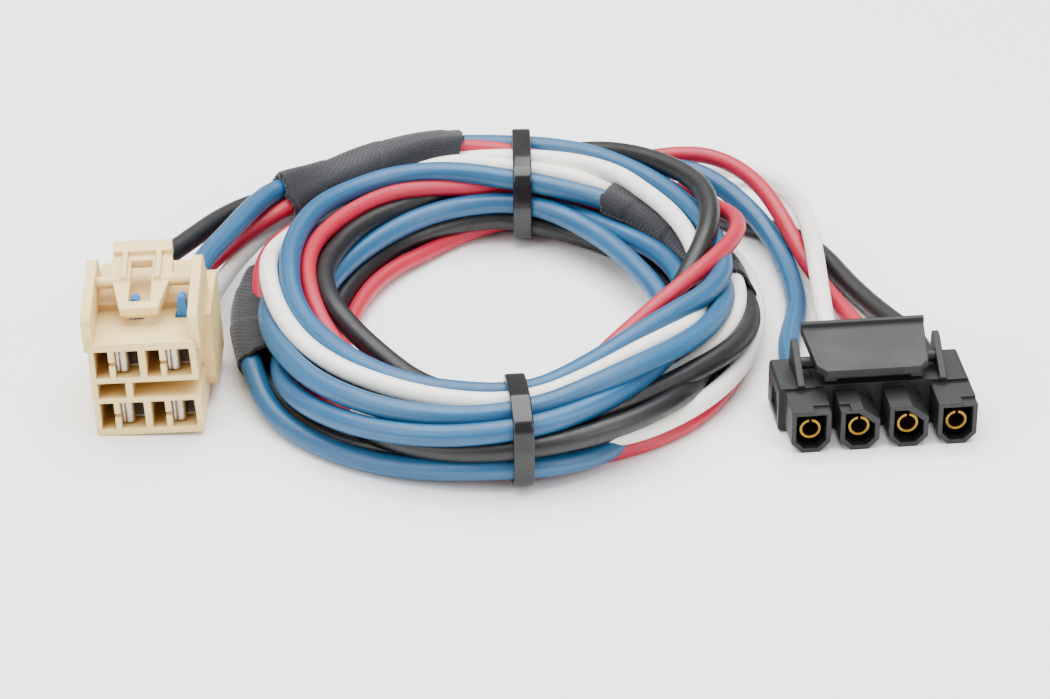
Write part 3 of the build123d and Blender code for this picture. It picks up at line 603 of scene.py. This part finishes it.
@dataclass(frozen=True)
class StampedMetal(Finish):
    """Stamped strip metal, plated: rolling marks along it and slight stains."""

    stain: str = "#000000"

    def detail(self, tree: bpy.types.NodeTree, shader: bpy.types.Node) -> None:
        """Rolling marks are noise stretched along the contact, and stains are soft spots."""
        coordinate = add_node(tree, "TexCoord")
        stretch = add_node(tree, "Mapping", {"Vector": coordinate.outputs["Object"],
                                             "Scale": (9000.0, 500.0, 9000.0)})
        marks = noise(tree, stretch.outputs[0], Scale=1.0, Detail=3.0)
        spots = noise(tree, coordinate.outputs["Object"], Scale=700.0, Detail=3.0)
        stained = remap(tree, spots, low=0.45, high=0.75, to_low=0.0, to_high=0.6)
        colour = mix_colours(tree, stained, srgb(self.colour), srgb(self.stain))
        rough = remap(tree, marks, low=0.3, high=0.7,
                      to_low=self.roughness - 0.08, to_high=self.roughness + 0.12)
        skin = bump(tree, marks, 0.006, Strength=0.6)
        tree.links.new(colour, shader.inputs["Base Color"])
        tree.links.new(rough, shader.inputs["Roughness"])
        tree.links.new(skin, shader.inputs["Normal"])
        shader.inputs["Metallic"].default_value = 1.0


@dataclass(frozen=True)
class WovenCloth(Finish):
    """Woven polyester cloth tape: plain weave, its weave crests painted lighter as painted highlight, and a
    dusty nap.
    """

    # The second colour is the painted highlight on the crests of the weave.
    painted_crest_highlight: str = "#ffffff"
    pitch: float = 0.42
    nap: float = 0.25
    nap_roughness: float = 0.5

    def detail(self, tree: bpy.types.NodeTree, shader: bpy.types.Node) -> None:
        """One yarn passes over the next in turn: two sets of rounded ridges, chosen by a checker. The ridge
        height, times a random lint tone, also paints the crests lighter and the gaps darker: painted
        highlight and painted shade.
        """
        coordinate = add_node(tree, "TexCoord")
        scaled = add_node(tree, "Mapping", {"Vector": coordinate.outputs["UV"],
                                            "Scale": (1 / self.pitch, 1 / self.pitch, 1.0)})
        wander = add_node(tree, "TexNoise", {"Vector": scaled.outputs[0], "Scale": 0.35, "Detail": 2.0})
        nudge = add_node(tree, "MixRGB", {"Fac": 0.035, 1: scaled.outputs[0], 2: wander.outputs["Color"]},
                         blend_type="MIX")
        uv = add_node(tree, "SeparateXYZ", {0: scaled.outputs[0]})
        ridges = []
        for axis in ("X", "Y"):
            turn = add_node(tree, "Math", {0: uv.outputs[axis], 1: math.pi}, operation="MULTIPLY")
            wave = add_node(tree, "Math", {0: turn.outputs[0]}, operation="SINE")
            ridges.append(add_node(tree, "Math", {0: wave.outputs[0]}, operation="ABSOLUTE"))
        checker = add_node(tree, "TexChecker", {"Vector": scaled.outputs[0], "Scale": 1.0})
        over = add_node(tree, "Mix", {"Factor": checker.outputs["Fac"], 2: ridges[0].outputs[0],
                                      3: ridges[1].outputs[0]}, data_type="FLOAT")
        lint = noise(tree, nudge.outputs[0], Scale=1.7, Detail=4.0)
        # Painted highlight and shade: the colour is lighter on the weave's crests and darker in its gaps,
        # varied by a random lint tone.
        light = add_node(tree, "Math", {0: over.outputs[0], 1: lint}, operation="MULTIPLY")
        share = remap(tree, light.outputs[0], low=0.18, high=0.66, to_low=0.0, to_high=1.0)
        colour = mix_colours(tree, share, srgb(self.colour), srgb(self.painted_crest_highlight))
        skin = bump(tree, light.outputs[0], 0.11, Strength=0.9)
        tree.links.new(colour, shader.inputs["Base Color"])
        tree.links.new(skin, shader.inputs["Normal"])
        shader.inputs["Sheen Weight"].default_value = self.nap
        shader.inputs["Sheen Roughness"].default_value = self.nap_roughness


@dataclass(frozen=True)
class TableTop(Finish):
    """Painted board under the harness, with a faint roller texture."""

    def detail(self, tree: bpy.types.NodeTree, shader: bpy.types.Node) -> None:
        """The roller texture is a low bump of noise."""
        coordinate = add_node(tree, "TexCoord")
        roller = noise(tree, coordinate.outputs["Object"], Scale=400.0, Detail=3.0)
        skin = bump(tree, roller, 0.01, Strength=0.3)
        tree.links.new(skin, shader.inputs["Normal"])


# Each jacket's second colour is a painted highlight for the streaks along the wire.
JACKETS = {
    Wire.BLUE: ExtrudedJacket("PVC wire jacket, extruded, blue", "#144d74", 0.42, painted_highlight="#246894"),
    Wire.WHITE: ExtrudedJacket("PVC wire jacket, extruded, white", "#efece4", 0.42, painted_highlight="#f7f3ea",
                               depth=0.02),
    Wire.RED: ExtrudedJacket("PVC wire jacket, extruded, red", "#a8072c", 0.46, painted_highlight="#bb183c",
                             depth=0.02),
    Wire.BLACK: ExtrudedJacket("PVC wire jacket, extruded, black", "#070708", 0.44, painted_highlight="#0d0d0f",
                               depth=0.03),
}
# The deep colour here is painted shade: darker amber in the housing's recesses.
CREAM_NYLON = MouldedPlastic("Nylon 66 housing, injection moulded, natural cream", "#ecd292", 0.45,
                             shade="#e0be74", deep="#b5894a", painted_shade_share=0.75, edge=0.28, glow=0.18)
BLUE_COMB = MouldedPlastic("Polypropylene terminal lock, injection moulded, blue", "#0b74c8", 0.24,
                           shade="#0a69b8", edge=0.22, grain_depth=0.002)
# The deep colour here is painted shade in the housing's recesses.
BLACK_NYLON = MouldedPlastic("Glass-filled nylon housing, injection moulded, black", "#0c0c0e", 0.52,
                             shade="#09090a", deep="#0b0b0c", painted_shade_share=0.6, edge=0.22, grain=0.12,
                             grain_depth=0.008)
TIE_NYLON = MouldedPlastic("Nylon 66 cable tie, injection moulded, black", "#111113", 0.2,
                           shade="#161618", edge=0.12, grain_depth=0.002)
# The second colour is the painted highlight on the weave's crests.
CLOTH = WovenCloth("Polyester cloth harness tape, woven, black", "#05060a", 0.9, painted_crest_highlight="#1b1e2a")
TIN = StampedMetal("Tin-plated brass terminal, stamped", "#bdb7af", 0.34, stain="#8f8a84")
BRASS = StampedMetal("Brass socket terminal, stamped", "#97772a", 0.36, stain="#5c4415")
FLOOR = TableTop("Painted board, white", "#fbfbfa", 0.8)

# --------------------------------------------------------------------------- view and light


@dataclass(frozen=True)
class StudioView:
    """The camera, a plain pale table and three soft lights."""

    camera_mm: tuple = (-0.445, -433.18, 258.5)
    tilt_degrees: float = 60.0
    lens: float = 132.0
    sensor_mm: float = 36.0
    clip_m: tuple = (0.02, 20.0)
    table_mm: float = 1600.0
    world_strength: float = 0.55
    aim_mm: tuple = (0.0, 0.0, 5.0)
    lights: tuple = (
        ("softbox over", (-40, 120, 620), 800, 15.0),
        ("softbox left", (-420, -330, 330), 380, 2.2),
        ("softbox right", (430, -260, 300), 320, 1.8),
    )

    def build(self) -> None:
        """Makes the camera, table, lights and surroundings."""
        camera = bpy.data.cameras.new("view")
        camera.lens, camera.sensor_width, camera.sensor_fit = self.lens, self.sensor_mm, "HORIZONTAL"
        camera.clip_start, camera.clip_end = self.clip_m
        eye = bpy.data.objects.new("view", camera)
        eye.location = [v * MM for v in self.camera_mm]
        eye.rotation_euler = (math.radians(self.tilt_degrees), 0, 0)
        bpy.context.scene.collection.objects.link(eye)
        bpy.context.scene.camera = eye
        half = self.table_mm / 2
        edge = np.linspace(-half, half, 9)
        x, y = np.meshgrid(edge, edge, indexing="ij")
        table = grid_mesh("table_top", np.stack([x, y, np.zeros_like(x)], -1), (False, False))
        if table.data.polygons[0].normal.z < 0:
            table.data.flip_normals()
        table.data.materials.append(FLOOR.build())
        for name, place, size, watts in self.lights:
            self.light(name, place, size, watts)
        world = bpy.data.worlds.new("studio")
        bpy.context.scene.world = world
        world.use_nodes = True
        sky = world.node_tree.nodes["Background"]
        sky.inputs["Color"].default_value = srgb("#ffffff")
        sky.inputs["Strength"].default_value = self.world_strength
        LOG.info("view: camera, table and three soft lights")

    def light(self, name: str, place: tuple, size: float, watts: float) -> None:
        """Adds one soft light that faces the coil.

        Args:
            name: its name.
            place: where it stands, mm.
            size: side of the square, mm.
            watts: its power.
        """
        lamp = bpy.data.lights.new(name, "AREA")
        lamp.shape, lamp.size, lamp.energy = "SQUARE", size * MM, watts
        holder = bpy.data.objects.new(name, lamp)
        at = np.array(place, float)
        holder.location = at * MM
        way = np.array(self.aim_mm) - at
        flat = math.hypot(way[0], way[1])
        spin = math.atan2(way[1], way[0]) - math.pi / 2
        holder.rotation_euler = (math.atan2(flat, -way[2]), 0, spin)
        bpy.context.scene.collection.objects.link(holder)


# --------------------------------------------------------------------------- the harness


@dataclass
class HarnessCord:
    """One wire of the harness, from its cream connector crimp to its black connector crimp."""

    wire: Wire
    coil_points: np.ndarray
    finish: ExtrudedJacket
    obj: bpy.types.Object = None
    centre: np.ndarray = field(default=None, repr=False)
    length: float = 0.0

    def build(self) -> "HarnessCord":
        """Makes the cord's curve and reads its centreline.

        Returns:
            The cord itself.
        """
        coil = self.coil_points.tolist()
        route = np.array(LEAD_IN[self.wire] + coil + TAIL[self.wire] + LEAD_OUT[self.wire])
        route = route + COIL_CENTRE
        curve = bpy.data.curves.new(f"wire_{self.wire.label}_cord", "CURVE")
        curve.dimensions = "3D"
        spline = curve.splines.new("NURBS")
        spline.points.add(len(route) - 1)
        spline.points.foreach_set("co", np.c_[route * MM, np.ones(len(route))].reshape(-1))
        spline.order_u = 3
        spline.use_endpoint_u = True
        spline.resolution_u = 5
        curve.resolution_u = 5
        bare = bpy.data.objects.new("bare", curve)
        bpy.context.scene.collection.objects.link(bare)
        shown = bare.evaluated_get(bpy.context.evaluated_depsgraph_get())
        line = bpy.data.meshes.new_from_object(shown)
        points = np.empty(len(line.vertices) * 3)
        line.vertices.foreach_get("co", points)
        bpy.data.meshes.remove(line)
        self.centre = points.reshape(-1, 3) / MM
        if np.linalg.norm(self.centre[0] - route[0]) > 1.0:
            self.centre = self.centre[::-1]
        self.length = float(np.linalg.norm(np.diff(self.centre, axis=0), axis=1).sum())
        bare.name = curve.name
        curve.bevel_depth = self.wire.diameter / 2 * MM
        curve.bevel_resolution = 6
        curve.use_fill_caps = True
        curve.materials.append(self.finish.build())
        self.obj = bare
        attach(bare, BODY)
        covered = [f"lead_in_{self.wire.label}", f"lead_out_{self.wire.label}"]
        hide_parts(*covered, *(["wire_coil"] if self.wire is Wire.BLUE else []))
        LOG.info("%s wire: %.1f mm long, %d control points", self.wire.label, self.length, len(route))
        return self

    def turn(self, plan: CoilPlan) -> np.ndarray:
        """How many turns each centreline point is from the back tie, clockwise from above."""
        away = self.centre - COIL_CENTRE
        angle = np.arctan2((away[:, 1] - plan.middle_y) / plan.half_y, away[:, 0] / plan.half_x)
        turn = (np.pi / 2 - np.unwrap(angle)) / (2 * np.pi)
        return turn - np.round(turn[0] + 0.3)

    def declare(self, pieces: list) -> None:
        """Args:
            pieces: the separate pieces that sit on it. Not used.
        """


@dataclass(frozen=True)
class ClothWrap:
    """Cloth tape wound round the four wires of one pass, with a frayed cut at each end."""

    name: str
    node: str
    begin: float
    end: float
    thickness: float = 0.42
    stations: int = 90
    round_points: int = 96
    lap: float = 9.0
    lap_step: float = 0.16
    fray: float = 0.7
    fray_reach: float = 2.5
    inner_gap: float = 0.06
    lap_drop: float = 12.0
    lap_rise: float = 1.2
    creases: tuple = ((0.08, 2, 1.3), (0.06, 3, -2.1), (0.05, 5, 3.4))
    teeth: tuple = ((3, 0.35), (7, 0.22), (13, 0.14), (23, 0.1), (37, 0.08))
    seed: int = 3

    def build(self, cords: list, plan: CoilPlan, cloth: bpy.types.Material) -> bpy.types.Object:
        """Fits the wrap to the wires.

        The surface is the convex outline of the wires' circles at each station, raised by the
        tape's thickness, by a step along the winding's overlap and by low soft creases. The grid
        goes along the outside, over each cut edge and back along the inside.

        Args:
            cords: the four cords.
            plan: the coil's plan.
            cloth: the tape's material.

        Returns:
            The wrap's object.
        """
        rng = np.random.default_rng(self.seed)
        steps = np.linspace(self.begin, self.end, self.stations)
        turns = [c.turn(plan) for c in cords]
        at = np.stack([np.stack([np.interp(steps, t, c.centre[:, k]) for k in range(3)], -1)
                       for c, t in zip(cords, turns)], 1)
        radii = np.array([c.wire.diameter / 2 for c in cords])
        middle = at.mean(1)
        ahead = np.gradient(middle, axis=0)
        ahead /= np.linalg.norm(ahead, axis=1, keepdims=True)
        up = np.array([0.0, 0.0, 1.0])
        out = np.cross(up, ahead)
        out /= np.linalg.norm(out, axis=1, keepdims=True)
        over = np.cross(ahead, out)
        away = at - middle[:, None]
        flat = np.stack([(away * out[:, None]).sum(-1), (away * over[:, None]).sum(-1)], -1)
        angles = np.linspace(0, 2 * np.pi, self.round_points + 1)[:-1]
        reach = convex_reach(flat, radii[None] * np.ones((self.stations, 1)), angles)
        run = np.concatenate([[0], np.cumsum(np.linalg.norm(np.diff(middle, axis=0), axis=1))])
        wind = (run[:, None] / self.lap + angles[None] / (2 * np.pi)) % 1
        step = (self.lap_step * np.clip((1 - wind) * self.lap_drop, 0, 1)
                * np.clip(wind * self.lap_rise, 0, 1))
        phases = rng.uniform(0, 6, len(self.creases))
        crease = sum(a * np.sin(k * angles[None] + m * run[:, None] / self.lap + p)
                     for (a, k, m), p in zip(self.creases, phases))
        outside = reach + self.thickness + step + crease
        inside = reach + self.inner_gap
        ragged = sum(np.sin(k * angles + rng.uniform(0, 6.28)) * a for k, a in self.teeth)
        first = np.exp(-run / self.fray_reach)[:, None] * -ragged[None]
        last = np.exp((run - run[-1]) / self.fray_reach)[:, None] * ragged[::-1][None]
        ends = first + last
        rings = []
        for lift, back in ((outside, False), (inside, True)):
            ring = (middle[:, None] + out[:, None] * (np.cos(angles) * lift)[..., None]
                    + over[:, None] * (np.sin(angles) * lift)[..., None]
                    + ahead[:, None] * (ends * self.fray)[..., None])
            rings.append(ring[::-1] if back else ring)
        both = np.concatenate(rings, 0)
        around = np.linspace(0, 1, self.round_points + 1) * float(outside.mean() * 2 * np.pi)
        along = np.concatenate([run, run[::-1], [0.0]])
        wrap = grid_mesh(self.name, both, (True, True), (along, around))
        wrap.data.materials.append(cloth)
        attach(wrap, BODY)
        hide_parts(self.node)
        LOG.info("%s: %.1f mm of cloth wrap", self.name, run[-1])
        return wrap


@dataclass(frozen=True)
class CableTie:
    """A nylon cable tie pulled tight round the bundle, with its head low on one side."""

    name: str
    node: str
    at: tuple
    lean: float
    head_side: int
    width: float = 2.6
    thickness: float = 0.95
    round_points: int = 160
    bundle_reach: float = 14.0
    slack: float = 0.03
    table_gap: float = 0.02
    strap_power: float = 0.28
    head: tuple = (4.6, 3.4, 4.4)
    head_height: float = 0.6
    head_power: float = 0.3

    def build(self, cords: list, nylon: bpy.types.Material) -> bpy.types.Object:
        """Fits the strap to the strands it crosses and adds the head.

        The strap follows the convex outline of the strands where they cross its plane. Its section
        is a rectangle with rounded edges. The head is a box whose corners are rounded by a power law.

        Args:
            cords: the four cords.
            nylon: the tie's material.

        Returns:
            The strap's object.
        """
        origin = np.array([self.at[0], self.at[1], 0.0]) + COIL_CENTRE
        lean = math.radians(self.lean)
        ahead = np.array([math.cos(lean), math.sin(lean), 0.0])
        out = np.array([-math.sin(lean), math.cos(lean), 0.0])
        up = np.array([0.0, 0.0, 1.0])
        places, radii = [], []
        for cord in cords:
            away = cord.centre - origin
            side = away @ ahead
            near = np.abs(away[:-1] @ out) < self.bundle_reach
            cross = np.nonzero((side[:-1] * side[1:] <= 0) & near)[0]
            share = (side[cross] / (side[cross] - side[cross + 1]))[:, None]
            hit = away[cross] * (1 - share) + away[cross + 1] * share
            places.append(np.stack([hit @ out, hit[:, 2]], -1))
            radii.append(np.full(len(hit), cord.wire.diameter / 2))
        flat, r = np.concatenate(places), np.concatenate(radii)
        wide, tall = np.ptp(flat, axis=0)
        LOG.info("%s: round %d strands, %.1f by %.1f mm", self.name, len(r), wide, tall)
        low, high = (flat - r[:, None]).min(0), (flat + r[:, None]).max(0)
        middle = (low + high) / 2
        angles = np.linspace(0, 2 * np.pi, self.round_points + 1)[:-1]
        reach = convex_reach((flat - middle)[None], r[None], angles)[0] + self.slack
        base = np.stack([np.cos(angles), np.sin(angles)], -1) * reach[:, None] + middle
        tangent = np.roll(base, -1, 0) - np.roll(base, 1, 0)
        tangent /= np.linalg.norm(tangent, axis=1, keepdims=True)
        normal = np.stack([tangent[:, 1], -tangent[:, 0]], -1)
        floor = np.maximum(base[:, 1], 0.0)
        base = np.stack([base[:, 0], floor], -1)
        turn = np.linspace(0, 2 * np.pi, 25)[:-1] + np.pi / 24
        half_w, half_t = self.width / 2, self.thickness / 2
        w = self.soft(np.cos(turn), self.strap_power) * half_w
        h = self.soft(np.sin(turn), self.strap_power) * half_t + half_t
        ring = base[:, None] + normal[:, None] * h[None, :, None]
        points = (origin + out * ring[..., :1] + up * np.maximum(ring[..., 1:], self.table_gap)
                  + ahead * w[None, :, None])
        strap = grid_mesh(self.name, points, (True, True))
        strap.data.materials.append(nylon)
        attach(strap, BODY)
        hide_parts(self.node)
        self.add_head(origin, ahead, out, high[0] if self.head_side > 0 else -low[0], nylon)
        return strap

    @staticmethod
    def soft(v: np.ndarray, power: float) -> np.ndarray:
        """Turns a round outline's cosine or sine into that of a box with rounded corners."""
        return np.sign(v) * np.abs(v) ** power

    def add_head(self, origin: np.ndarray, ahead: np.ndarray, out: np.ndarray, reach: float,
                 nylon: bpy.types.Material) -> None:
        """Adds the ratchet head against the strap.

        Args:
            origin: the tie's middle on the table.
            ahead: along the wires.
            out: across the bundle.
            reach: how far the bundle goes on the head's side, mm.
            nylon: the tie's material.
        """
        lat = np.linspace(-np.pi / 2, np.pi / 2, 25)
        lon = np.linspace(0, 2 * np.pi, 49)[:-1]
        level, rise = self.soft(np.cos(lat), self.head_power), self.soft(np.sin(lat), self.head_power)
        w, d, h = (v / 2 for v in self.head)
        x = level[:, None] * self.soft(np.cos(lon), self.head_power)[None] * w
        y = level[:, None] * self.soft(np.sin(lon), self.head_power)[None] * d
        z = rise[:, None] * np.ones_like(lon)[None] * h
        away = out * self.head_side * (reach + self.thickness * 0.6 + d)
        middle = origin + away + np.array([0, 0, self.head_height + h])
        up = np.array([0, 0, 1.0])
        points = middle + x[..., None] * ahead + y[..., None] * out + z[..., None] * up
        head = grid_mesh(self.name + "_head", points, (False, True))
        head.data.materials.append(nylon)
        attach(head, BODY)


@dataclass(frozen=True)
class Connectors:
    """The two connectors: CAD nodes with their real finishes."""

    finishes: tuple = (
        (CREAM_NYLON, ("cream_housing", "cream_latch")),
        (BLUE_COMB, ("cream_lock",)),
        (BLACK_NYLON, ("black_housing", "black_latch")),
        (TIN, tuple(f"tin_terminal_{k}" for k in range(1, 5))),
        (BRASS, tuple(f"brass_socket_{k}" for k in range(1, 5))),
    )

    def build(self) -> None:
        """Gives each CAD node of the connectors its finish."""
        for finish, nodes in self.finishes:
            material = finish.build()
            for name in nodes:
                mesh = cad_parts[name].data
                mesh.materials.clear()
                mesh.materials.append(material)
            LOG.info("%s on %s", finish.title, ", ".join(nodes))


def main() -> None:
    """Builds the harness over the CAD frame."""
    StudioView().build()
    plan = CoilPlan()
    paths = plan.solve()
    cords = [HarnessCord(w, paths[w], JACKETS[w]).build() for w in WIRES]
    cloth = CLOTH.build()
    wraps = [ClothWrap("cloth_wrap_entry", "tape_entry", begin=-0.150, end=-0.030, thickness=0.85,
                       seed=4),
             ClothWrap("cloth_wrap_right", "tape_right", begin=1.094, end=1.235, seed=7),
             ClothWrap("cloth_wrap_left", "tape_left", begin=3.695, end=3.790, seed=9)]
    pieces = [w.build(cords, plan, cloth) for w in wraps]
    nylon = TIE_NYLON.build()
    ties = [CableTie("cable_tie_back", "tie_back", at=(2.6, 32.3), lean=1.0, head_side=1),
            CableTie("cable_tie_front", "tie_front", at=(2.3, -34.6), lean=6.5, head_side=1)]
    pieces += [t.build(cords, nylon) for t in ties]
    Connectors().build()
    for k, cord in enumerate(cords):
        cord.declare(pieces if k == 0 else [])


if __name__ == "__main__":
    main()
